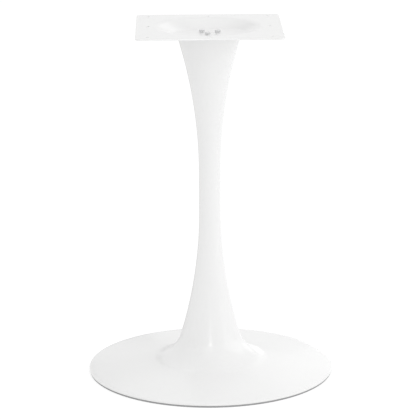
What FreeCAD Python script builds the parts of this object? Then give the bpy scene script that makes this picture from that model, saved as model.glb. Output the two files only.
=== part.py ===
import FreeCAD
import Part
import Sketcher
import math
import os

# A tulip table base. One hollow casting is both the trumpet column and the round foot.
# A square pressed-steel plate with a dished middle is bolted to the casting's closed head,
# and a rubber ring under the rim keeps the foot off the floor.
# Millimetres, +Z up, origin on the floor at the middle of the foot.

SIZES = {
    # the whole base, from the floor to the plate's upper face
    "overall_height": 720,
    # pedestal: a straight neck, a long flare each way, a fillet and a shallow conical foot
    "foot_diameter": 504,
    "foot_slope": 7.5,
    "foot_fillet_radius": 70,
    "lower_flare_radius": 908,
    "neck_diameter": 44,
    "neck_bottom": 340,
    "neck_length": 80,
    "head_diameter": 129.9,
    "head_edge_round": 0.5,
    "head_floor": 4,
    "pedestal_wall": 5,
    "rim_round": 2.5,
    "rim_land": 8,
    # floor ring, seated on the rim's land
    "ring_height": 4,
    "ring_inset": 1,
    "ring_edge_round": 1,
    # top plate: a square sheet with a round dish and screw holes for the table top
    "plate_side": 294,
    "plate_thickness": 3,
    "plate_corner_radius": 12,
    "plate_edge_round": 0.8,
    "dish_depth": 14.5,
    "dish_mouth": 224,
    "dish_floor": 116,
    "mouth_bend": 36,
    "floor_bend": 45,
    "screw_hole": 7,
    "screw_spacing": 244,
    # plate bolts, each on a spring washer
    "bolt_circle": 37,
    "bolt_turn": 20,
    "bolt_diameter": 6,
    "bolt_length": 16,
    "bolt_tip_chamfer": 0.8,
    "bolt_tip_room": 2.6,
    "hex_width": 10,
    "hex_height": 4,
    "hex_chamfer": 0.6,
    "spring_diameter": 9.9,
    "spring_thickness": 1.6,
    "spring_gap": 1.2,
    "thread_clearance": 0.05,
    "washer_clearance": 0.2,
    "plate_hole_clearance": 0.3,
}
BOLTS = 3
PLATE_SIDES = 4
HEX_CHAMFER_ANGLE = 30

# Heights, depths and diameters that several pieces share
HEAD_TOP = "sizes.overall_height - sizes.dish_depth - sizes.plate_thickness"
DISH_FLOOR_TOP = "sizes.overall_height - sizes.dish_depth"
HEX_SEAT = f"{DISH_FLOOR_TOP} + sizes.spring_thickness"
UNDER_HEX = "(sizes.spring_thickness + sizes.plate_thickness)"
TAPPED_DEPTH = f"sizes.bolt_length - {UNDER_HEX} + sizes.bolt_tip_room"
HEAD_THICKNESS = f"{TAPPED_DEPTH} + sizes.head_floor"
WASHER_BORE = "sizes.bolt_diameter + 2 * sizes.washer_clearance"
RING_OUTER = "sizes.foot_diameter / 2 - sizes.ring_inset"
RING_INNER = "sizes.foot_diameter / 2 - sizes.rim_land"
BLANK_RADIUS = "sizes.plate_side"
BEYOND_BLANK = "2 * sizes.plate_side"

# Sketch vocabulary, counted as sketches count: the points of an edge, the two axes, the origin
START, END, CENTRE = range(1, 4)
LEVEL_AXIS, UPRIGHT_AXIS = range(-1, -3, -1)
ORIGIN = (LEVEL_AXIS, START)

# How close two lengths are that count as the same, where an edge is looked up
NEAR = 0.01

doc = FreeCAD.newDocument("tulip_table_base")
sheet = doc.addObject("Spreadsheet::Sheet", "sizes")
for row, (alias, number) in enumerate(SIZES.items(), start=1):
    sheet.set(f"A{row}", alias.replace("_", " "))
    sheet.set(f"B{row}", str(number))
    sheet.setAlias(f"B{row}", alias)
doc.recompute()


def value(expression):
    """The number that an expression on the sheet gives."""
    return float(sheet.evalExpression(expression))


def point(x, y):
    return FreeCAD.Vector(x, y, 0)


def origin_feature(body, role):
    return next(feature for feature in body.Origin.OriginFeatures if feature.Role == role)


def add_body(label):
    body = doc.addObject("PartDesign::Body", label)
    body.Label = label
    return body


def add_fastener_body(label, seat):
    """A body for a ring of loose pieces: it stands at its seat, with X towards the first bolt."""
    body = add_body(label)
    body.AllowCompound = True
    body.setExpression("Placement.Base.z", seat)
    body.setExpression("Placement.Rotation.Angle", "sizes.bolt_turn * 1 deg")
    return body


def add_sketch(body, name, role):
    """A sketch on one of the body's own origin planes."""
    sketch = body.newObject("Sketcher::SketchObject", name)
    sketch.AttachmentSupport = [(origin_feature(body, role), "")]
    sketch.MapMode = "FlatFace"
    return sketch


def add_level_sketch(body, name, height):
    sketch = add_sketch(body, name, "XY_Plane")
    sketch.setExpression("AttachmentOffset.Base.z", height)
    return sketch


def add_line(sketch, start, end):
    return sketch.addGeometry(Part.LineSegment(start, end))


def add_circle(sketch, centre, radius):
    return sketch.addGeometry(Part.Circle(centre, FreeCAD.Vector(0, 0, 1), radius))


def add_arc(sketch, centre, start, end):
    """A counter-clockwise arc about a centre."""
    first = math.atan2(start.y - centre.y, start.x - centre.x)
    last = math.atan2(end.y - centre.y, end.x - centre.x)
    if last < first:
        last += 2 * math.pi
    circle = Part.Circle(centre, FreeCAD.Vector(0, 0, 1), (start - centre).Length)
    return sketch.addGeometry(Part.ArcOfCircle(circle, first, last))


def add_loop(sketch, corners):
    """Straight lines from corner to corner and back to the first."""
    nexts = corners[1:] + corners[:1]
    lines = [add_line(sketch, here, there) for here, there in zip(corners, nexts)]
    for line, following in zip(lines, lines[1:] + lines[:1]):
        rule(sketch, "Coincident", line, END, following, START)
    return lines


def rule(sketch, kind, *places):
    sketch.addConstraint(Sketcher.Constraint(kind, *places))


def rule_each(sketch, kind, *edges):
    for edge in edges:
        rule(sketch, kind, edge)


def join(sketch, *meetings):
    """Ends that meet: each is (how, first edge, its end, second edge, its end)."""
    for how, first, first_end, second, second_end in meetings:
        rule(sketch, how, first, first_end, second, second_end)


def bind(sketch, name, kind, places, expression):
    """A dimension of a sketch, tied to the sheet. Angles are in degrees there."""
    angle = kind == "Angle"
    number = value(expression)
    size = math.radians(number) if angle else number
    index = sketch.addConstraint(Sketcher.Constraint(kind, *places, size))
    sketch.renameConstraint(index, name)
    sketch.setExpression(f"Constraints.{name}", f"({expression}) * 1 deg" if angle else expression)


def bind_bolt_place(sketch, centred):
    """Put the centre of a circle or arc on the bolt circle, where the sketch's X axis crosses it."""
    rule(sketch, "PointOnObject", centred, CENTRE, LEVEL_AXIS)
    bind(sketch, "bolt_place", "DistanceX", (*ORIGIN, centred, CENTRE), "sizes.bolt_circle / 2")


def revolve(body, sketch, name):
    feature = body.newObject("PartDesign::Revolution", name)
    feature.Profile = sketch
    feature.ReferenceAxis = (sketch, ["V_Axis"])
    feature.Angle = 360
    return feature


def pad(body, sketch, name, length, downwards=False):
    feature = body.newObject("PartDesign::Pad", name)
    feature.Profile = sketch
    feature.Reversed = downwards
    feature.setExpression("Length", length)
    return feature


def cut(body, sketch, name, depth=None):
    """Cut down from a sketch, right through if no depth is given, and check that metal went."""
    doc.recompute()
    before = body.Shape.Volume
    feature = body.newObject("PartDesign::Pocket", name)
    feature.Profile = sketch
    if depth:
        feature.setExpression("Length", depth)
    else:
        feature.Type = "ThroughAll"
    doc.recompute()
    if body.Shape.Volume >= before:
        raise RuntimeError(f"{name} cuts nothing")
    return feature


def repeat_round(body, name, count, features=None):
    """Copies of some features, or of the whole body, spaced evenly about its upright axis."""
    doc.recompute()
    pattern = body.newObject("PartDesign::PolarPattern", name)
    if features:
        pattern.Originals = features
    else:
        pattern.TransformMode = "Whole shape"
    pattern.Axis = (origin_feature(body, "Z_Axis"), [""])
    pattern.Angle = 360
    pattern.Occurrences = count
    body.Tip = pattern


def dress_edges(body, kind, name, measure, size, wanted):
    """A Fillet's Radius or a Chamfer's Size on the edges of the body that a test picks out."""
    doc.recompute()
    base = body.Tip
    edges = [f"Edge{i}" for i, edge in enumerate(base.Shape.Edges, start=1) if wanted(edge.BoundBox)]
    if not edges:
        raise RuntimeError(f"{name} finds no edge")
    feature = body.newObject(f"PartDesign::{kind}", name)
    feature.Base = (base, edges)
    feature.setExpression(measure, size)


def drill_for_bolts(body, name, height, diameter, depth):
    """A ring of holes, one for each bolt."""
    sketch = add_level_sketch(body, f"{name}_sketch", height)
    sketch.setExpression("AttachmentOffset.Rotation.Angle", "sizes.bolt_turn * 1 deg")
    hole = add_circle(sketch, point(value("sizes.bolt_circle / 2"), 0), value(f"({diameter}) / 2"))
    bind_bolt_place(sketch, hole)
    bind(sketch, "diameter", "Diameter", (hole,), diameter)
    repeat_round(body, f"{name}_ring", BOLTS, [cut(body, sketch, name, depth)])


def make_pedestal():
    """The casting: column and foot in one, hollow, open below and closed at the head."""
    wall = value("sizes.pedestal_wall")
    neck_radius = value("sizes.neck_diameter / 2")
    head_radius = value("sizes.head_diameter / 2")
    foot_radius = value("sizes.foot_diameter / 2")
    head_top = value(HEAD_TOP)
    head_under = head_top - value(HEAD_THICKNESS)
    neck_bottom = value("sizes.neck_bottom")
    neck_top = neck_bottom + value("sizes.neck_length")
    fillet = value("sizes.foot_fillet_radius")
    lower = value("sizes.lower_flare_radius")
    rim_round = value("sizes.rim_round")
    slope = math.radians(value("sizes.foot_slope"))
    up_from_foot = point(math.sin(slope), math.cos(slope))
    up_the_foot = point(-math.cos(slope), math.sin(slope))

    # the foot's upper face lies one wall above the line that starts at the land's inner edge
    land_inner = point(value(RING_INNER), value("sizes.ring_height"))
    on_foot = land_inner + up_from_foot * wall

    # the fillet touches the foot's face from above and the lower flare from inside its circle
    lower_centre = point(neck_radius + lower, neck_bottom)
    to_foot = on_foot + up_from_foot * fillet - lower_centre
    half = to_foot.dot(up_the_foot)
    reach = math.sqrt(half**2 - to_foot.Length**2 + (lower - fillet) ** 2)
    fillet_centre = lower_centre + to_foot + up_the_foot * (reach - half)
    to_fillet = (fillet_centre - lower_centre).normalize()

    # the rim's round touches the foot's face from below and the upright edge from inside
    rim_x = foot_radius - rim_round
    rim_drop = (rim_round + (rim_x - on_foot.x) * math.sin(slope)) / math.cos(slope)
    rim_centre = point(rim_x, on_foot.y - rim_drop)

    # the upper flare leaves the neck upright and ends at the head's edge
    flare_rise = head_top - neck_top
    flare_out = head_radius - neck_radius
    upper = (flare_rise**2 + flare_out**2) / (2 * flare_out)
    upper_centre = point(neck_radius + upper, neck_top)
    head_inner_x = upper_centre.x - math.sqrt((upper + wall) ** 2 - (head_under - neck_top) ** 2)

    axis_top = point(0, head_top)
    head_edge = point(head_radius, head_top)
    neck_top_outer = point(neck_radius, neck_top)
    neck_bottom_outer = point(neck_radius, neck_bottom)
    flare_end = lower_centre + to_fillet * lower
    fillet_end = fillet_centre - up_from_foot * fillet
    rim_top = rim_centre + up_from_foot * rim_round
    rim_side = point(foot_radius, rim_centre.y)
    rim_bottom = point(foot_radius, land_inner.y)
    fillet_end_inner = fillet_centre - up_from_foot * (fillet + wall)
    flare_end_inner = lower_centre + to_fillet * (lower + wall)
    neck_bottom_inner = point(neck_radius - wall, neck_bottom)
    neck_top_inner = point(neck_radius - wall, neck_top)
    head_inner = point(head_inner_x, head_under)
    axis_under = point(0, head_under)

    body = add_body("pedestal")
    sketch = add_sketch(body, "pedestal_section", "XZ_Plane")
    head_face = add_line(sketch, axis_top, head_edge)
    upper_flare = add_arc(sketch, upper_centre, head_edge, neck_top_outer)
    neck = add_line(sketch, neck_top_outer, neck_bottom_outer)
    lower_flare = add_arc(sketch, lower_centre, neck_bottom_outer, flare_end)
    foot_fillet = add_arc(sketch, fillet_centre, flare_end, fillet_end)
    foot_face = add_line(sketch, fillet_end, rim_top)
    rim = add_arc(sketch, rim_centre, rim_side, rim_top)
    rim_edge = add_line(sketch, rim_side, rim_bottom)
    land = add_line(sketch, rim_bottom, land_inner)
    foot_inside = add_line(sketch, land_inner, fillet_end_inner)
    fillet_inside = add_arc(sketch, fillet_centre, flare_end_inner, fillet_end_inner)
    lower_inside = add_arc(sketch, lower_centre, neck_bottom_inner, flare_end_inner)
    neck_inside = add_line(sketch, neck_bottom_inner, neck_top_inner)
    upper_inside = add_arc(sketch, upper_centre, head_inner, neck_top_inner)
    head_inside = add_line(sketch, head_inner, axis_under)
    axis = add_line(sketch, axis_under, axis_top)
    join(
        sketch,
        ("Coincident", axis, END, head_face, START),
        ("Coincident", head_face, END, upper_flare, START),
        ("Tangent", upper_flare, END, neck, START),
        ("Tangent", neck, END, lower_flare, START),
        ("Tangent", lower_flare, END, foot_fillet, START),
        ("Tangent", foot_fillet, END, foot_face, START),
        ("Tangent", foot_face, END, rim, END),
        ("Tangent", rim, START, rim_edge, START),
        ("Coincident", rim_edge, END, land, START),
        ("Coincident", land, END, foot_inside, START),
        ("Tangent", foot_inside, END, fillet_inside, END),
        ("Tangent", fillet_inside, START, lower_inside, END),
        ("Tangent", lower_inside, START, neck_inside, START),
        ("Tangent", neck_inside, END, upper_inside, END),
        ("Coincident", upper_inside, START, head_inside, START),
        ("Coincident", head_inside, END, axis, START),
        ("Coincident", upper_inside, CENTRE, upper_flare, CENTRE),
        ("Coincident", lower_inside, CENTRE, lower_flare, CENTRE),
        ("Coincident", fillet_inside, CENTRE, foot_fillet, CENTRE),
    )
    rule_each(sketch, "Horizontal", head_face, land, head_inside)
    rule_each(sketch, "Vertical", neck, rim_edge, neck_inside, axis)
    rule(sketch, "PointOnObject", axis, START, UPRIGHT_AXIS)
    rule(sketch, "Parallel", foot_face, foot_inside)
    bind(sketch, "head_radius", "DistanceX", (*ORIGIN, head_face, END), "sizes.head_diameter / 2")
    bind(sketch, "neck_radius", "DistanceX", (*ORIGIN, neck, START), "sizes.neck_diameter / 2")
    bind(sketch, "foot_radius", "DistanceX", (*ORIGIN, rim_edge, END), "sizes.foot_diameter / 2")
    bind(sketch, "wall", "DistanceX", (neck_inside, END, neck, START), "sizes.pedestal_wall")
    bind(sketch, "land_width", "DistanceX", (land, END, land, START), "sizes.rim_land")
    bind(sketch, "head_top", "DistanceY", (*ORIGIN, axis, END), HEAD_TOP)
    bind(sketch, "head_thickness", "DistanceY", (axis, START, axis, END), HEAD_THICKNESS)
    bind(sketch, "neck_bottom", "DistanceY", (*ORIGIN, neck, END), "sizes.neck_bottom")
    bind(sketch, "neck_length", "DistanceY", (neck, END, neck, START), "sizes.neck_length")
    bind(sketch, "land_height", "DistanceY", (*ORIGIN, land, START), "sizes.ring_height")
    bind(sketch, "lower_flare", "Radius", (lower_flare,), "sizes.lower_flare_radius")
    bind(sketch, "foot_fillet", "Radius", (foot_fillet,), "sizes.foot_fillet_radius")
    bind(sketch, "rim_round", "Radius", (rim,), "sizes.rim_round")
    bind(sketch, "foot_slope", "Angle", (foot_inside,), "180 - sizes.foot_slope")
    revolve(body, sketch, "casting")

    bore = "sizes.bolt_diameter + 2 * sizes.thread_clearance"
    drill_for_bolts(body, "tapped_holes", HEAD_TOP, bore, TAPPED_DEPTH)

    def is_head_edge(box):
        return box.ZMin > head_top - NEAR and box.XLength > head_radius

    dress_edges(body, "Fillet", "head_edge", "Radius", "sizes.head_edge_round", is_head_edge)
    return body


def make_floor_ring():
    """A rubber ring under the rim, a little inside its edge, that the base stands on."""
    inner = value(RING_INNER)
    outer = value(RING_OUTER)
    height = value("sizes.ring_height")

    body = add_body("floor_ring")
    sketch = add_sketch(body, "ring_section", "XZ_Plane")
    corners = [point(inner, 0), point(outer, 0), point(outer, height), point(inner, height)]
    floor, outside, seat, inside = add_loop(sketch, corners)
    rule_each(sketch, "Horizontal", floor, seat)
    rule_each(sketch, "Vertical", outside, inside)
    rule(sketch, "PointOnObject", floor, START, LEVEL_AXIS)
    bind(sketch, "inner_radius", "DistanceX", (*ORIGIN, floor, START), RING_INNER)
    bind(sketch, "outer_radius", "DistanceX", (*ORIGIN, floor, END), RING_OUTER)
    bind(sketch, "height", "DistanceY", (*ORIGIN, seat, START), "sizes.ring_height")
    revolve(body, sketch, "strip")

    def is_floor_edge(box):
        return box.ZMax < NEAR and box.XLength > inner

    dress_edges(body, "Fillet", "floor_edges", "Radius", "sizes.ring_edge_round", is_floor_edge)
    return body


def make_top_plate():
    """The pressed plate: a dished round blank cut to a square, with bolt and screw holes."""
    top = value("sizes.overall_height")
    dish_top = value(DISH_FLOOR_TOP)
    mouth_bend = value("sizes.mouth_bend")
    floor_bend = value("sizes.floor_bend")
    blank = value(BLANK_RADIUS)
    half_side = value("sizes.plate_side / 2")
    down = point(0, -value("sizes.plate_thickness"))

    # the dish's slanted wall runs straight between its two bends and touches both
    mouth_centre = point(value("sizes.dish_mouth / 2"), top - mouth_bend)
    floor_centre = point(value("sizes.dish_floor / 2"), dish_top + floor_bend)
    span = mouth_centre - floor_centre
    slant = math.atan2(span.y, span.x) + math.asin((mouth_bend + floor_bend) / span.Length)
    out_of_wall = point(-math.sin(slant), math.cos(slant))
    through_wall = out_of_wall * down.y

    blank_edge = point(blank, top)
    mouth_start = point(mouth_centre.x, top)
    mouth_end = mouth_centre + out_of_wall * mouth_bend
    floor_end = floor_centre - out_of_wall * floor_bend
    floor_start = point(floor_centre.x, dish_top)
    dish_middle = point(0, dish_top)

    body = add_body("top_plate")
    sketch = add_sketch(body, "plate_section", "XZ_Plane")
    flat = add_line(sketch, blank_edge, mouth_start)
    mouth = add_arc(sketch, mouth_centre, mouth_start, mouth_end)
    wall = add_line(sketch, mouth_end, floor_end)
    floor = add_arc(sketch, floor_centre, floor_end, floor_start)
    dish = add_line(sketch, floor_start, dish_middle)
    axis = add_line(sketch, dish_middle, dish_middle + down)
    dish_under = add_line(sketch, dish_middle + down, floor_start + down)
    floor_under = add_arc(sketch, floor_centre, floor_start + down, floor_end + through_wall)
    wall_under = add_line(sketch, floor_end + through_wall, mouth_end + through_wall)
    mouth_under = add_arc(sketch, mouth_centre, mouth_start + down, mouth_end + through_wall)
    flat_under = add_line(sketch, mouth_start + down, blank_edge + down)
    edge = add_line(sketch, blank_edge + down, blank_edge)
    join(
        sketch,
        ("Tangent", flat, END, mouth, START),
        ("Tangent", mouth, END, wall, START),
        ("Tangent", wall, END, floor, END),
        ("Tangent", floor, START, dish, START),
        ("Coincident", dish, END, axis, START),
        ("Coincident", axis, END, dish_under, START),
        ("Tangent", dish_under, END, floor_under, START),
        ("Tangent", floor_under, END, wall_under, START),
        ("Tangent", wall_under, END, mouth_under, END),
        ("Tangent", mouth_under, START, flat_under, START),
        ("Coincident", flat_under, END, edge, START),
        ("Coincident", edge, END, flat, START),
        ("Coincident", floor_under, CENTRE, floor, CENTRE),
        ("Coincident", mouth_under, CENTRE, mouth, CENTRE),
    )
    rule_each(sketch, "Horizontal", flat, dish, dish_under, flat_under)
    rule_each(sketch, "Vertical", axis, edge)
    rule(sketch, "PointOnObject", axis, START, UPRIGHT_AXIS)
    bind(sketch, "top", "DistanceY", (*ORIGIN, flat, START), "sizes.overall_height")
    bind(sketch, "depth", "DistanceY", (dish, END, flat, START), "sizes.dish_depth")
    bind(sketch, "dish_sheet", "DistanceY", (axis, END, axis, START), "sizes.plate_thickness")
    bind(sketch, "flat_sheet", "DistanceY", (edge, START, edge, END), "sizes.plate_thickness")
    bind(sketch, "blank_radius", "DistanceX", (*ORIGIN, flat, START), BLANK_RADIUS)
    bind(sketch, "mouth_radius", "DistanceX", (*ORIGIN, flat, END), "sizes.dish_mouth / 2")
    bind(sketch, "floor_radius", "DistanceX", (*ORIGIN, dish, START), "sizes.dish_floor / 2")
    bind(sketch, "mouth_bend", "Radius", (mouth,), "sizes.mouth_bend")
    bind(sketch, "floor_bend", "Radius", (floor,), "sizes.floor_bend")
    revolve(body, sketch, "dished_blank")

    outline = add_level_sketch(body, "outside_of_square", "sizes.overall_height")
    signs = ((-1, -1), (1, -1), (1, 1), (-1, 1))
    front, right, back, left = add_loop(outline, [point(half_side * x, half_side * y) for x, y in signs])
    rule_each(outline, "Horizontal", front, back)
    rule_each(outline, "Vertical", right, left)
    rule(outline, "Equal", front, right)
    rule(outline, "Symmetric", front, START, right, END, *ORIGIN)
    bind(outline, "side", "DistanceX", (front, START, front, END), "sizes.plate_side")
    beyond = add_circle(outline, point(0, 0), value(BEYOND_BLANK))
    rule(outline, "Coincident", beyond, CENTRE, *ORIGIN)
    bind(outline, "beyond", "Radius", (beyond,), BEYOND_BLANK)
    cut(body, outline, "cut_to_square")

    def is_corner(box):
        return box.XLength + box.YLength < NEAR and abs(box.XMin) > half_side - NEAR

    dress_edges(body, "Fillet", "plate_corners", "Radius", "sizes.plate_corner_radius", is_corner)

    screws = add_level_sketch(body, "screw_hole", "sizes.overall_height")
    reach = value("sizes.screw_spacing / 2")
    radius = value("sizes.screw_hole / 2")
    corner_hole = add_circle(screws, point(reach, reach), radius)
    side_hole = add_circle(screws, point(reach, 0), radius)
    rule(screws, "PointOnObject", side_hole, CENTRE, LEVEL_AXIS)
    rule(screws, "Equal", side_hole, corner_hole)
    rule(screws, "Vertical", side_hole, CENTRE, corner_hole, CENTRE)
    bind(screws, "hole", "Diameter", (corner_hole,), "sizes.screw_hole")
    bind(screws, "across", "DistanceX", (*ORIGIN, corner_hole, CENTRE), "sizes.screw_spacing / 2")
    bind(screws, "along", "DistanceY", (*ORIGIN, corner_hole, CENTRE), "sizes.screw_spacing / 2")
    pair = cut(body, screws, "screw_holes", "sizes.plate_thickness")
    repeat_round(body, "screw_hole_ring", PLATE_SIDES, [pair])

    hole = "sizes.bolt_diameter + 2 * sizes.plate_hole_clearance"
    drill_for_bolts(body, "bolt_holes", DISH_FLOOR_TOP, hole, "sizes.plate_thickness")

    def is_outer_edge(box):
        reach = max(-box.XMin, box.XMax, -box.YMin, box.YMax)
        return box.ZLength < NEAR and reach > half_side - NEAR

    dress_edges(body, "Fillet", "plate_edges", "Radius", "sizes.plate_edge_round", is_outer_edge)
    return body


def make_spring_washers():
    """A split spring washer, pressed flat, between the dish's floor and each bolt's head."""
    body = add_fastener_body("spring_washers", DISH_FLOOR_TOP)
    sketch = add_sketch(body, "split_ring", "XY_Plane")
    place = point(value("sizes.bolt_circle / 2"), 0)
    half_gap = value("sizes.spring_gap / 2")

    def ends(diameter):
        radius = value(f"({diameter}) / 2")
        ahead = math.sqrt(radius**2 - half_gap**2)
        return place + point(ahead, half_gap), place + point(ahead, -half_gap)

    outer_start, outer_end = ends("sizes.spring_diameter")
    inner_start, inner_end = ends(WASHER_BORE)
    outside = add_arc(sketch, place, outer_start, outer_end)
    inside = add_arc(sketch, place, inner_start, inner_end)
    first_end = add_line(sketch, inner_start, outer_start)
    last_end = add_line(sketch, inner_end, outer_end)
    join(
        sketch,
        ("Coincident", inside, START, first_end, START),
        ("Coincident", first_end, END, outside, START),
        ("Coincident", inside, END, last_end, START),
        ("Coincident", last_end, END, outside, END),
        ("Coincident", inside, CENTRE, outside, CENTRE),
    )
    rule_each(sketch, "Horizontal", first_end, last_end)
    bind_bolt_place(sketch, outside)
    bind(sketch, "outside", "Diameter", (outside,), "sizes.spring_diameter")
    bind(sketch, "bore", "Diameter", (inside,), WASHER_BORE)
    bind(sketch, "gap", "DistanceY", (last_end, END, first_end, END), "sizes.spring_gap")
    bind(sketch, "half_gap", "DistanceY", (*ORIGIN, first_end, END), "sizes.spring_gap / 2")
    pad(body, sketch, "split_washer", "sizes.spring_thickness")
    repeat_round(body, "split_washer_ring", BOLTS)
    return body


def make_plate_bolts():
    """Hexagon bolts that hold the plate's dish down on the casting's head."""
    corner_radius = "sizes.hex_width / sqrt(3)"
    chamfer_radius = f"{corner_radius} - sizes.hex_chamfer / tan({HEX_CHAMFER_ANGLE} deg)"
    place = point(value("sizes.bolt_circle / 2"), 0)

    body = add_fastener_body("plate_bolts", HEX_SEAT)
    hexagon = add_sketch(body, "hexagon", "XY_Plane")
    around = add_circle(hexagon, place, value(corner_radius))
    hexagon.toggleConstruction(around)
    turns = [math.radians(60 * i + 30) for i in range(6)]
    corners = [place + point(math.cos(turn), math.sin(turn)) * value(corner_radius) for turn in turns]
    sides = add_loop(hexagon, corners)
    for side in sides:
        rule(hexagon, "PointOnObject", side, START, around)
    for side in sides[1:]:
        rule(hexagon, "Equal", sides[0], side)
    rule(hexagon, "Vertical", sides[-1])
    bind_bolt_place(hexagon, around)
    bind(hexagon, "corners", "Radius", (around,), corner_radius)
    pad(body, hexagon, "hex_head", "sizes.hex_height")

    shank_end = add_sketch(body, "shank_end", "XY_Plane")
    shank = add_circle(shank_end, place, value("sizes.bolt_diameter / 2"))
    bind_bolt_place(shank_end, shank)
    bind(shank_end, "diameter", "Diameter", (shank,), "sizes.bolt_diameter")
    pad(body, shank_end, "shank", "sizes.bolt_length", downwards=True)

    def is_tip(box):
        return box.ZMax < NEAR - value("sizes.bolt_length")

    dress_edges(body, "Chamfer", "shank_tip", "Size", "sizes.bolt_tip_chamfer", is_tip)

    # the turned chamfer on the head: a cone takes the corners off the hexagon's upper face
    hex_top = value("sizes.hex_height")
    rim = place + point(value(chamfer_radius), hex_top)
    beyond = place + point(value("sizes.hex_width"), hex_top)
    drop = (beyond.x - rim.x) * math.tan(math.radians(HEX_CHAMFER_ANGLE))
    turned = add_sketch(body, "turned_corner", "XZ_Plane")
    level, upright, cone = add_loop(turned, [rim, beyond, beyond - point(0, drop)])
    axis = add_line(turned, place, place + point(0, hex_top))
    turned.toggleConstruction(axis)
    rule(turned, "Horizontal", level)
    rule_each(turned, "Vertical", upright, axis)
    rule(turned, "PointOnObject", axis, START, LEVEL_AXIS)
    rule(turned, "Horizontal", axis, END, level, START)
    bind(turned, "axis_place", "DistanceX", (*ORIGIN, axis, START), "sizes.bolt_circle / 2")
    bind(turned, "head_height", "DistanceY", (axis, START, axis, END), "sizes.hex_height")
    bind(turned, "chamfer_radius", "DistanceX", (axis, END, level, START), chamfer_radius)
    bind(turned, "beyond", "DistanceX", (axis, END, level, END), "sizes.hex_width")
    bind(turned, "chamfer_angle", "Angle", (cone,), f"180 - {HEX_CHAMFER_ANGLE}")
    doc.recompute()
    before = body.Shape.Volume
    groove = body.newObject("PartDesign::Groove", "hex_chamfer")
    groove.Profile = turned
    groove.ReferenceAxis = (turned, ["Axis0"])
    groove.Angle = 360
    doc.recompute()
    if body.Shape.Volume >= before:
        raise RuntimeError("hex_chamfer cuts nothing")
    repeat_round(body, "bolt_ring", BOLTS)
    return body


def check_and_write(bodies):
    doc.recompute()
    for item in doc.Objects:
        if {"Invalid", "Error"} & set(item.State):
            raise RuntimeError(f"{item.Label}: {item.State}")
    for body in bodies:
        if body.Shape.isNull() or not body.Shape.isValid():
            raise RuntimeError(f"{body.Label} has no valid shape")
    os.makedirs("parts", exist_ok=True)
    for body in bodies:
        body.Shape.exportStep(f"parts/{body.Label}.step")
        print(body.Label, len(body.Shape.Solids), round(body.Shape.Volume))


check_and_write([
    make_pedestal(),
    make_floor_ring(),
    make_top_plate(),
    make_spring_washers(),
    make_plate_bolts(),
])
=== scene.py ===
import math

import bmesh
import bpy
from mathutils import Matrix, Vector


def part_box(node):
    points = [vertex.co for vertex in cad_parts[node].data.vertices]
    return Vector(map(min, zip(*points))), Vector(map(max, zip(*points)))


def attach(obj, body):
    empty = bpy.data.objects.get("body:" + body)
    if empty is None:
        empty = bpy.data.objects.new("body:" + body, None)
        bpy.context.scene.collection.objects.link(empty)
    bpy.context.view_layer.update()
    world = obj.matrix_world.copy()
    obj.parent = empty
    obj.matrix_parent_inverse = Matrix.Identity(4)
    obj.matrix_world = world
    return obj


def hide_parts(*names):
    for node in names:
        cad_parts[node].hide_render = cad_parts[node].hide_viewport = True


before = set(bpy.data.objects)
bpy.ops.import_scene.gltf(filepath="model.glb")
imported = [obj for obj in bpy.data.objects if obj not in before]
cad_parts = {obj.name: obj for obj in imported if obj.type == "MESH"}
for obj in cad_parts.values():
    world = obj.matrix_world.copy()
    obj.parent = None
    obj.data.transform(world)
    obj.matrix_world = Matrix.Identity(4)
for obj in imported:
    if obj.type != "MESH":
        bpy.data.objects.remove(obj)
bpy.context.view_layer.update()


# Pedestal: the trumpet column and the round foot are one hollow iron casting, open underneath
# and closed at its head, where three holes are tapped for the plate's bolts.
# It is ground smooth and powder-coated in gloss white, inside and out.
pedestal_low, pedestal_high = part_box("pedestal")
foot_radius = pedestal_high.x
rim_height = pedestal_low.z
head_height = pedestal_high.z
head_radius = 0.06495
head_thickness = 0.018
head_edge = 0.0005
neck_radius = 0.022
neck_bottom = 0.340
neck_top = 0.420
lower_flare = 0.908
foot_fillet = 0.070
foot_slope = math.radians(7.5)
casting_wall = 0.005
rim_round = 0.0025
rim_land = 0.008
turned_steps = 180
flare_steps = 40
fillet_steps = 36
inner_steps = 24
crease_angle = 30
merge_distance = 1e-6
bolt_radius = 0.003
bolt_circle_radius = 0.0185
first_bolt_turn = 20
bolt_places = [Matrix.Rotation(math.radians(first_bolt_turn + turn), 2) @ Vector((bolt_circle_radius, 0))
               for turn in (0, 120, 240)]
tapped_depth = 0.014
thread_clearance = 0.00005
drill_overrun = 0.001


def carry_straight(section, end, x, z, lengths=1):
    """Carry a section on from its end in a straight line, and return the new end."""
    step = (Vector((x, 0, z)) - end.co) / lengths
    for _ in range(lengths):
        made = bmesh.ops.extrude_vert_indiv(section, verts=[end])
        place = end.co + step
        end = made["verts"][0]
        end.co = place
    return end


def carry_round(section, end, centre, turn, steps):
    """Carry a section on from its end about a centre. A positive turn is clockwise from the front."""
    made = bmesh.ops.spin(section, geom=[end], cent=(centre.x, 0, centre.y), axis=(0, 1, 0),
                          angle=turn, steps=steps)
    return made["geom_last"][0]


def turn_about_axis(section):
    """Turn a section once about the upright axis, close its poles and face it outwards."""
    bmesh.ops.spin(section, geom=section.verts[:] + section.edges[:], cent=(0, 0, 0), axis=(0, 0, 1),
                   angle=2 * math.pi, steps=turned_steps, use_merge=True)
    bmesh.ops.remove_doubles(section, verts=section.verts, dist=merge_distance)
    bmesh.ops.recalc_face_normals(section, faces=section.faces)


def make_piece(name, form, sharp_angle):
    """Stand a finished form in the scene, smooth up to its sharp edges, fixed to the base."""
    mesh = bpy.data.meshes.new(name)
    form.to_mesh(mesh)
    form.free()
    mesh.shade_smooth()
    mesh.set_sharp_from_angle(angle=math.radians(sharp_angle))
    piece = bpy.data.objects.new(name, mesh)
    bpy.context.scene.collection.objects.link(piece)
    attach(piece, "root")
    return piece


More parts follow.
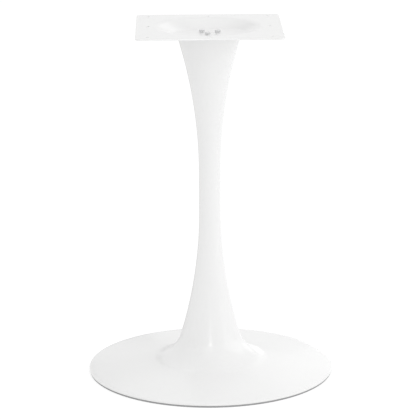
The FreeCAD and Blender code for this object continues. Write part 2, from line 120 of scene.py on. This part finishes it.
def drill(piece, places, radius, low, high):
    """Drill upright holes in a piece, from one height to another, and keep them in its mesh."""
    drills = bmesh.new()
    facets = 48
    # half a facet's turn keeps the corners of the hole off the edges of the sheet's faces
    turn = Matrix.Rotation(math.pi / facets, 4, "Z")
    for place in places:
        middle = Matrix.Translation((place.x, place.y, (low + high) / 2))
        bmesh.ops.create_cone(drills, cap_ends=True, segments=facets, radius1=radius, radius2=radius,
                              depth=high - low, matrix=middle @ turn)
    mesh = bpy.data.meshes.new("drills")
    drills.to_mesh(mesh)
    drills.free()
    cutter = bpy.data.objects.new("drills", mesh)
    bpy.context.scene.collection.objects.link(cutter)
    holes = piece.modifiers.new("holes", "BOOLEAN")
    holes.operation = "DIFFERENCE"
    holes.solver = "EXACT"
    holes.object = cutter
    drilled = piece.evaluated_get(bpy.context.evaluated_depsgraph_get())
    piece.data = bpy.data.meshes.new_from_object(drilled)
    piece.data.set_sharp_from_angle(angle=math.radians(crease_angle))
    piece.modifiers.clear()
    bpy.data.objects.remove(cutter)


# the outer face of the foot lies one wall above the line that rises from the rim's land
foot_normal = Vector((math.sin(foot_slope), math.cos(foot_slope)))
up_the_foot = Vector((-math.cos(foot_slope), math.sin(foot_slope)))
land_corner = Vector((foot_radius - rim_land, rim_height))
foot_corner = land_corner + foot_normal * casting_wall
# the fillet touches the lower flare from inside and the foot from above
lower_centre = Vector((neck_radius + lower_flare, neck_bottom))
to_foot = foot_corner + foot_normal * foot_fillet - lower_centre
along = to_foot.dot(up_the_foot)
reach = math.sqrt(along ** 2 - to_foot.length_squared + (lower_flare - foot_fillet) ** 2)
fillet_centre = lower_centre + to_foot + up_the_foot * (reach - along)
flare_turn = math.atan2(lower_centre.y - fillet_centre.y, lower_centre.x - fillet_centre.x)
fillet_turn = math.pi / 2 - foot_slope - flare_turn
# the upper flare leaves the neck upright and reaches the head's radius at its top
head_rise = head_height - neck_top
upper_flare = (head_rise ** 2 + (head_radius - neck_radius) ** 2) / (2 * (head_radius - neck_radius))
upper_centre = Vector((neck_radius + upper_flare, neck_top))
head_turn = math.asin(head_rise / upper_flare)
head_under = head_height - head_thickness
inner_head_turn = math.asin((head_under - neck_top) / (upper_flare + casting_wall))
# the rim is rounded between the foot's face and its upright edge
round_x = foot_radius - rim_round
round_z = foot_corner.y - (rim_round + (round_x - foot_corner.x) * foot_normal.x) / foot_normal.y
rim_centre = Vector((round_x, round_z))
rim_start = rim_centre + foot_normal * rim_round
inner_start = fillet_centre - foot_normal * (foot_fillet + casting_wall)

casting = bmesh.new()
end = casting.verts.new((0, 0, head_height))
end = carry_straight(casting, end, head_radius, head_height, lengths=3)
end = carry_round(casting, end, upper_centre, -head_turn, flare_steps)
end = carry_straight(casting, end, neck_radius, neck_bottom, lengths=6)
end = carry_round(casting, end, lower_centre, -flare_turn, flare_steps)
end = carry_round(casting, end, fillet_centre, -fillet_turn, fillet_steps)
end = carry_straight(casting, end, rim_start.x, rim_start.y, lengths=12)
end = carry_round(casting, end, rim_centre, math.pi / 2 - foot_slope, steps=8)
end = carry_straight(casting, end, foot_radius, rim_height)
end = carry_straight(casting, end, land_corner.x, land_corner.y)
end = carry_straight(casting, end, inner_start.x, inner_start.y, lengths=6)
end = carry_round(casting, end, fillet_centre, fillet_turn, inner_steps)
end = carry_round(casting, end, lower_centre, flare_turn, inner_steps)
end = carry_straight(casting, end, neck_radius - casting_wall, neck_top, lengths=3)
end = carry_round(casting, end, upper_centre, inner_head_turn, inner_steps)
carry_straight(casting, end, 0, head_under)
turn_about_axis(casting)
head_corner = [edge for edge in casting.edges
               if all(abs(corner.co.z - head_height) < merge_distance
                      and abs(corner.co.xy.length - head_radius) < merge_distance
                      for corner in edge.verts)]
bmesh.ops.bevel(casting, geom=head_corner, offset=head_edge, offset_type="OFFSET", affect="EDGES",
                segments=4, profile=0.5, material=-1)
pedestal = make_piece("pedestal_casting", casting, crease_angle)
drill(pedestal, bolt_places, bolt_radius + thread_clearance,
      head_height - tapped_depth, head_height + drill_overrun)
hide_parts("pedestal")

# every finish on this base shows slow patches in its tone and gloss and a fine grain in its skin
skin = bpy.data.node_groups.new("patches_and_grain", "ShaderNodeTree")
skin.interface.new_socket("Patch scale", in_out="INPUT", socket_type="NodeSocketFloat")
skin.interface.new_socket("Grain scale", in_out="INPUT", socket_type="NodeSocketFloat")
skin.interface.new_socket("Patches", in_out="OUTPUT", socket_type="NodeSocketFloat")
skin.interface.new_socket("Grain", in_out="OUTPUT", socket_type="NodeSocketFloat")
skin_in = skin.nodes.new("NodeGroupInput")
skin_out = skin.nodes.new("NodeGroupOutput")
skin_place = skin.nodes.new("ShaderNodeTexCoord")
for scale_name, output_name, detail in (("Patch scale", "Patches", 4), ("Grain scale", "Grain", 2)):
    noise = skin.nodes.new("ShaderNodeTexNoise")
    noise.inputs["Detail"].default_value = detail
    skin.links.new(skin_place.outputs["Object"], noise.inputs["Vector"])
    skin.links.new(skin_in.outputs[scale_name], noise.inputs["Scale"])
    skin.links.new(noise.outputs["Fac"], skin_out.inputs[output_name])


def make_finish(name, tones, roughness, patch_scale, grain_scale, grain_depth, metallic=0.0):
    """A finish whose tone and roughness drift between two values over a grain of a given depth."""
    finish = bpy.data.materials.new(name)
    finish.use_nodes = True
    nodes = finish.node_tree.nodes
    links = finish.node_tree.links
    surface = nodes["Principled BSDF"]
    surface.inputs["Metallic"].default_value = metallic
    drift = nodes.new("ShaderNodeGroup")
    drift.node_tree = skin
    drift.inputs["Patch scale"].default_value = patch_scale
    drift.inputs["Grain scale"].default_value = grain_scale
    tone = nodes.new("ShaderNodeMix")
    tone.data_type = "RGBA"
    tone.inputs["A"].default_value = (*tones[0], 1)
    tone.inputs["B"].default_value = (*tones[1], 1)
    gloss = nodes.new("ShaderNodeMapRange")
    gloss.inputs["To Min"].default_value = roughness[0]
    gloss.inputs["To Max"].default_value = roughness[1]
    relief = nodes.new("ShaderNodeBump")
    relief.inputs["Distance"].default_value = grain_depth
    links.new(drift.outputs["Patches"], tone.inputs["Factor"])
    links.new(tone.outputs["Result"], surface.inputs["Base Color"])
    links.new(drift.outputs["Patches"], gloss.inputs["Value"])
    links.new(gloss.outputs["Result"], surface.inputs["Roughness"])
    links.new(drift.outputs["Grain"], relief.inputs["Height"])
    links.new(relief.outputs["Normal"], surface.inputs["Normal"])
    return finish


white_coat = make_finish("white_gloss_coat", ((0.85, 0.85, 0.848), (0.87, 0.87, 0.868)), (0.17, 0.25),
                         patch_scale=14, grain_scale=420, grain_depth=0.00001)
pedestal.data.materials.append(white_coat)


# Floor ring: a moulded grey rubber ring pushed onto the land under the rim.
# It stands a little inside the rim, and its floor edges are rounded.
ring_low, ring_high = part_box("floor_ring")
ring_outer = ring_high.x
ring_inner = 0.244
ring_edge = 0.001
outer_edge_centre = Vector((ring_outer - ring_edge, ring_low.z + ring_edge))
inner_edge_centre = Vector((ring_inner + ring_edge, ring_low.z + ring_edge))

moulding = bmesh.new()
first = moulding.verts.new((ring_inner, 0, ring_high.z))
end = carry_straight(moulding, first, ring_outer, ring_high.z)
end = carry_straight(moulding, end, ring_outer, ring_low.z + ring_edge)
end = carry_round(moulding, end, outer_edge_centre, math.pi / 2, steps=5)
end = carry_straight(moulding, end, ring_inner + ring_edge, ring_low.z)
end = carry_round(moulding, end, inner_edge_centre, math.pi / 2, steps=5)
moulding.edges.new((end, first))
turn_about_axis(moulding)
floor_ring = make_piece("rubber_floor_ring", moulding, sharp_angle=40)
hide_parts("floor_ring")

rubber = make_finish("grey_rubber", ((0.32, 0.32, 0.325), (0.36, 0.36, 0.365)), (0.55, 0.72),
                     patch_scale=30, grain_scale=1500, grain_depth=0.00005)
floor_ring.data.materials.append(rubber)


# Top plate: a square of 3 mm sheet steel with rounded corners and a round dish pressed into it.
# Screw holes stand at its corners and sides. It is coated like the pedestal, and bolted to its head.
plate_low, plate_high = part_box("top_plate")
plate_top = plate_high.z
plate_half = plate_high.x
sheet = 0.003
corner_round = 0.012
plate_edge = 0.0008
mouth_radius = 0.112
dish_radius = 0.058
dish_top = plate_low.z + sheet
mouth_bend = 0.036
mouth_land = 0.001
dish_bend = 0.045
bolt_hole_clearance = 0.0003
drill_reach = 0.01
screw_radius = 0.0035
screw_half = 0.122
screw_places = [Vector((x * screw_half, y * screw_half))
                for x in (-1, 0, 1) for y in (-1, 0, 1) if x or y]

# both faces of the dish bend about the same two centres, with a straight slope that touches both bends
mouth_centre = Vector((mouth_radius, plate_top - mouth_bend))
dish_centre = Vector((dish_radius, dish_top + dish_bend))
between = mouth_centre - dish_centre
slope = math.asin((mouth_bend + dish_bend) / between.length) + math.atan2(between.y, between.x)
slope_normal = Vector((-math.sin(slope), math.cos(slope)))

pressing = bmesh.new()
for depth in (0, sheet):
    end = pressing.verts.new((0, 0, dish_top - depth))
    end = carry_straight(pressing, end, dish_radius, dish_top - depth, lengths=3)
    end = carry_round(pressing, end, dish_centre, -slope, steps=8)
    foot_of_bend = mouth_centre + slope_normal * (mouth_bend - depth)
    end = carry_straight(pressing, end, foot_of_bend.x, foot_of_bend.y, lengths=6)
    end = carry_round(pressing, end, mouth_centre, slope, steps=12)
    carry_straight(pressing, end, mouth_radius + mouth_land, plate_top - depth)
turn_about_axis(pressing)
# the flat of the sheet runs from the dish's mouth out to the rounded square
mouth_edges = [edge for edge in pressing.edges if edge.is_boundary]
flat = bmesh.ops.extrude_edge_only(pressing, edges=mouth_edges)["geom"]
quarter = turned_steps // 4
third = quarter // 3
corner_inset = plate_half - corner_round
for vertex in [part for part in flat if isinstance(part, bmesh.types.BMVert)]:
    step = round(math.atan2(vertex.co.y, vertex.co.x) / math.tau * turned_steps) % turned_steps
    place = step % quarter
    if place <= third:
        spot = Vector((plate_half, corner_inset * place / third))
    elif place <= 2 * third:
        bend = math.pi / 2 * (place - third) / third
        around = Vector((math.cos(bend), math.sin(bend)))
        spot = Vector((corner_inset, corner_inset)) + corner_round * around
    else:
        spot = Vector((corner_inset * (quarter - place) / third, plate_half))
    vertex.co.xy = Matrix.Rotation(math.pi / 2 * (step // quarter), 2) @ spot
outline = [edge for edge in pressing.edges if edge.is_boundary]
bmesh.ops.bridge_loops(pressing, edges=outline)
bmesh.ops.recalc_face_normals(pressing, faces=pressing.faces)
bmesh.ops.bevel(pressing, geom=outline, offset=plate_edge, offset_type="OFFSET", affect="EDGES",
                segments=3, profile=0.5, material=-1)
plate = make_piece("dished_top_plate", pressing, crease_angle)
drill(plate, screw_places, screw_radius, plate_top - drill_reach, plate_top + drill_reach)
drill(plate, bolt_places, bolt_radius + bolt_hole_clearance, dish_top - drill_reach, dish_top + drill_reach)
# the sheet's flat faces shade flat, up to the round of their edges
even = plate.modifiers.new("even_shading", "WEIGHTED_NORMAL")
even.keep_sharp = True
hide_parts("top_plate")
plate.data.materials.append(white_coat)


# Spring washers and hexagon bolts: three of each, of zinc-plated steel, on the dish's floor.
# They are turned and stamped to the sizes of the CAD model, with smooth round faces.
zinc = make_finish("zinc_plated_steel", ((0.64, 0.643, 0.648), (0.76, 0.763, 0.768)), (0.26, 0.40),
                   patch_scale=260, grain_scale=2600, grain_depth=0.00001, metallic=1.0)
for node in ("spring_washers", "plate_bolts"):
    form = bmesh.new()
    form.from_mesh(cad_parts[node].data)
    bmesh.ops.remove_doubles(form, verts=form.verts, dist=merge_distance)
    fasteners = make_piece("zinc_" + node, form, sharp_angle=20)
    fasteners.data.materials.clear()
    fasteners.data.materials.append(zinc)
    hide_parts(node)


# Studio: a white floor and backdrop under soft white light, seen from a little above the plate.
# The floor and the backdrop are plain white to the camera and in reflections, apart from a few
# grey cards behind on the left that the gloss picks up.
floor_half = 6
floor_form = bmesh.new()
bmesh.ops.create_grid(floor_form, x_segments=1, y_segments=1, size=floor_half)
floor_mesh = bpy.data.meshes.new("studio_floor")
floor_form.to_mesh(floor_mesh)
floor_form.free()
floor = bpy.data.objects.new("studio_floor", floor_mesh)
bpy.context.scene.collection.objects.link(floor)


def seen_directly(nodes, links):
    """One for rays from the camera, from a reflection or through glass, and nought for the rest."""
    path = nodes.new("ShaderNodeLightPath")
    first = nodes.new("ShaderNodeMath")
    first.operation = "MAXIMUM"
    links.new(path.outputs["Is Camera Ray"], first.inputs[0])
    links.new(path.outputs["Is Glossy Ray"], first.inputs[1])
    second = nodes.new("ShaderNodeMath")
    second.operation = "MAXIMUM"
    links.new(first.outputs["Value"], second.inputs[0])
    links.new(path.outputs["Is Transmission Ray"], second.inputs[1])
    return second.outputs["Value"]


def between_values(nodes, links, switch, off, on):
    """A value that is off or on as the switch says."""
    chosen = nodes.new("ShaderNodeMapRange")
    chosen.inputs["To Min"].default_value = off
    chosen.inputs["To Max"].default_value = on
    links.new(switch, chosen.inputs["Value"])
    return chosen.outputs["Result"]


paper = bpy.data.materials.new("white_floor")
paper.use_nodes = True
paper_nodes = paper.node_tree.nodes
paper_links = paper.node_tree.links
paper_nodes.clear()
paper_seen = seen_directly(paper_nodes, paper_links)
matt = paper_nodes.new("ShaderNodeBsdfDiffuse")
glow = paper_nodes.new("ShaderNodeEmission")
paper_tone = between_values(paper_nodes, paper_links, paper_seen, off=0.9, on=0.35)
paper_glow = between_values(paper_nodes, paper_links, paper_seen, off=0.0, on=0.72)
paper_links.new(paper_tone, matt.inputs["Color"])
paper_links.new(paper_glow, glow.inputs["Strength"])
both = paper_nodes.new("ShaderNodeAddShader")
paper_links.new(matt.outputs["BSDF"], both.inputs[0])
paper_links.new(glow.outputs["Emission"], both.inputs[1])
paper_out = paper_nodes.new("ShaderNodeOutputMaterial")
paper_links.new(both.outputs["Shader"], paper_out.inputs["Surface"])
floor_mesh.materials.append(paper)

room = bpy.data.worlds.new("white_room")
room.use_nodes = True
room_nodes = room.node_tree.nodes
room_links = room.node_tree.links
backdrop = room_nodes["Background"]
backdrop.inputs["Color"].default_value = (1, 1, 1, 1)
room_seen = seen_directly(room_nodes, room_links)
room_light = between_values(room_nodes, room_links, room_seen, off=0.89, on=1.0)
room_links.new(room_light, backdrop.inputs["Strength"])
bpy.context.scene.world = room

# the windows in front and on the right light the base, and the far ones behind show in its gloss
# each is a name, where it stands, where it points, its width and height, and its watts
lamps = (
    ("right_window", (2.65, -0.15, 1.2), (0, 0, 0.35), 4.0, 1.5, 16),
    ("front_window", (-0.40, -3.4, 3.20), (0, 0, 0.40), 2.0, 1.6, 6.5),
    ("front_strip", (-0.031, -1.5, 0.685), (0, 0, 0.40), 0.077, 0.35, 1.35),
    ("low_window", (1.55, 8.0, 0.45), (0.1, 0, 0.1), 0.8, 0.9, 6.5),
    ("corner_window", (4.50, 6.60, 1.05), (0, 0, 0.05), 3.4, 1.8, 12),
    ("back_window", (2.20, 8.0, 3.60), (0, 0, 0.72), 2.2, 3.4, 9),
    ("high_window", (0.0, 6.0, 7.1), (0, 0, 0.72), 2.4, 2.2, 8),
)
for lamp_name, lamp_place, lamp_target, width, height, watts in lamps:
    lamp_data = bpy.data.lights.new(lamp_name, "AREA")
    lamp_data.shape = "RECTANGLE"
    lamp_data.size = width
    lamp_data.size_y = height
    lamp_data.energy = watts
    lamp = bpy.data.objects.new(lamp_name, lamp_data)
    bpy.context.scene.collection.objects.link(lamp)
    lamp_look = (Vector(lamp_target) - Vector(lamp_place)).to_track_quat("-Z", "Y").to_matrix().to_4x4()
    lamp.matrix_world = Matrix.Translation(lamp_place) @ lamp_look

# the grey cards show in the coat's reflections alone
# each is a name, its width and length, its place, and its tilt in degrees
cards = (
    ("floor_card", 0.90, 3.20, (-0.48, 1.90, 0.002), 0),
    ("low_card", 0.50, 0.45, (-0.50, 3.50, 0.225), 90),
    ("high_card", 1.30, 3.40, (-1.85, 8.0, 3.80), 90),
)
card_paint = bpy.data.materials.new("grey_card")
card_paint.use_nodes = True
card_grey = (0.68, 0.68, 0.68, 1)
card_paint.node_tree.nodes["Principled BSDF"].inputs["Base Color"].default_value = card_grey
for card_name, width, length, card_place, tilt in cards:
    card_form = bmesh.new()
    bmesh.ops.create_grid(card_form, x_segments=1, y_segments=1, size=0.5)
    bmesh.ops.scale(card_form, verts=card_form.verts, vec=(width, length, 1))
    raised = Matrix.Rotation(math.radians(tilt), 3, "X")
    bmesh.ops.rotate(card_form, verts=card_form.verts, cent=(0, 0, 0), matrix=raised)
    bmesh.ops.translate(card_form, verts=card_form.verts, vec=card_place)
    card_mesh = bpy.data.meshes.new(card_name)
    card_form.to_mesh(card_mesh)
    card_form.free()
    card_mesh.materials.append(card_paint)
    card = bpy.data.objects.new(card_name, card_mesh)
    bpy.context.scene.collection.objects.link(card)
    card.visible_camera = False
    card.visible_diffuse = False
    card.visible_shadow = False

camera_data = bpy.data.cameras.new("camera")
camera_data.sensor_width = 36
camera_data.lens = 190.6
camera = bpy.data.objects.new("camera", camera_data)
bpy.context.scene.collection.objects.link(camera)
camera_place = Vector((-0.0785, -4.4113, 1.473))
camera_target = Vector((0.0002, 0, 0.3393))
camera_roll = Matrix.Rotation(math.radians(-0.287), 4, "Z")
camera_look = (camera_target - camera_place).to_track_quat("-Z", "Y").to_matrix().to_4x4()
camera.matrix_world = Matrix.Translation(camera_place) @ camera_look @ camera_roll
bpy.context.scene.camera = camera
bpy.context.scene.view_settings.view_transform = "Standard"
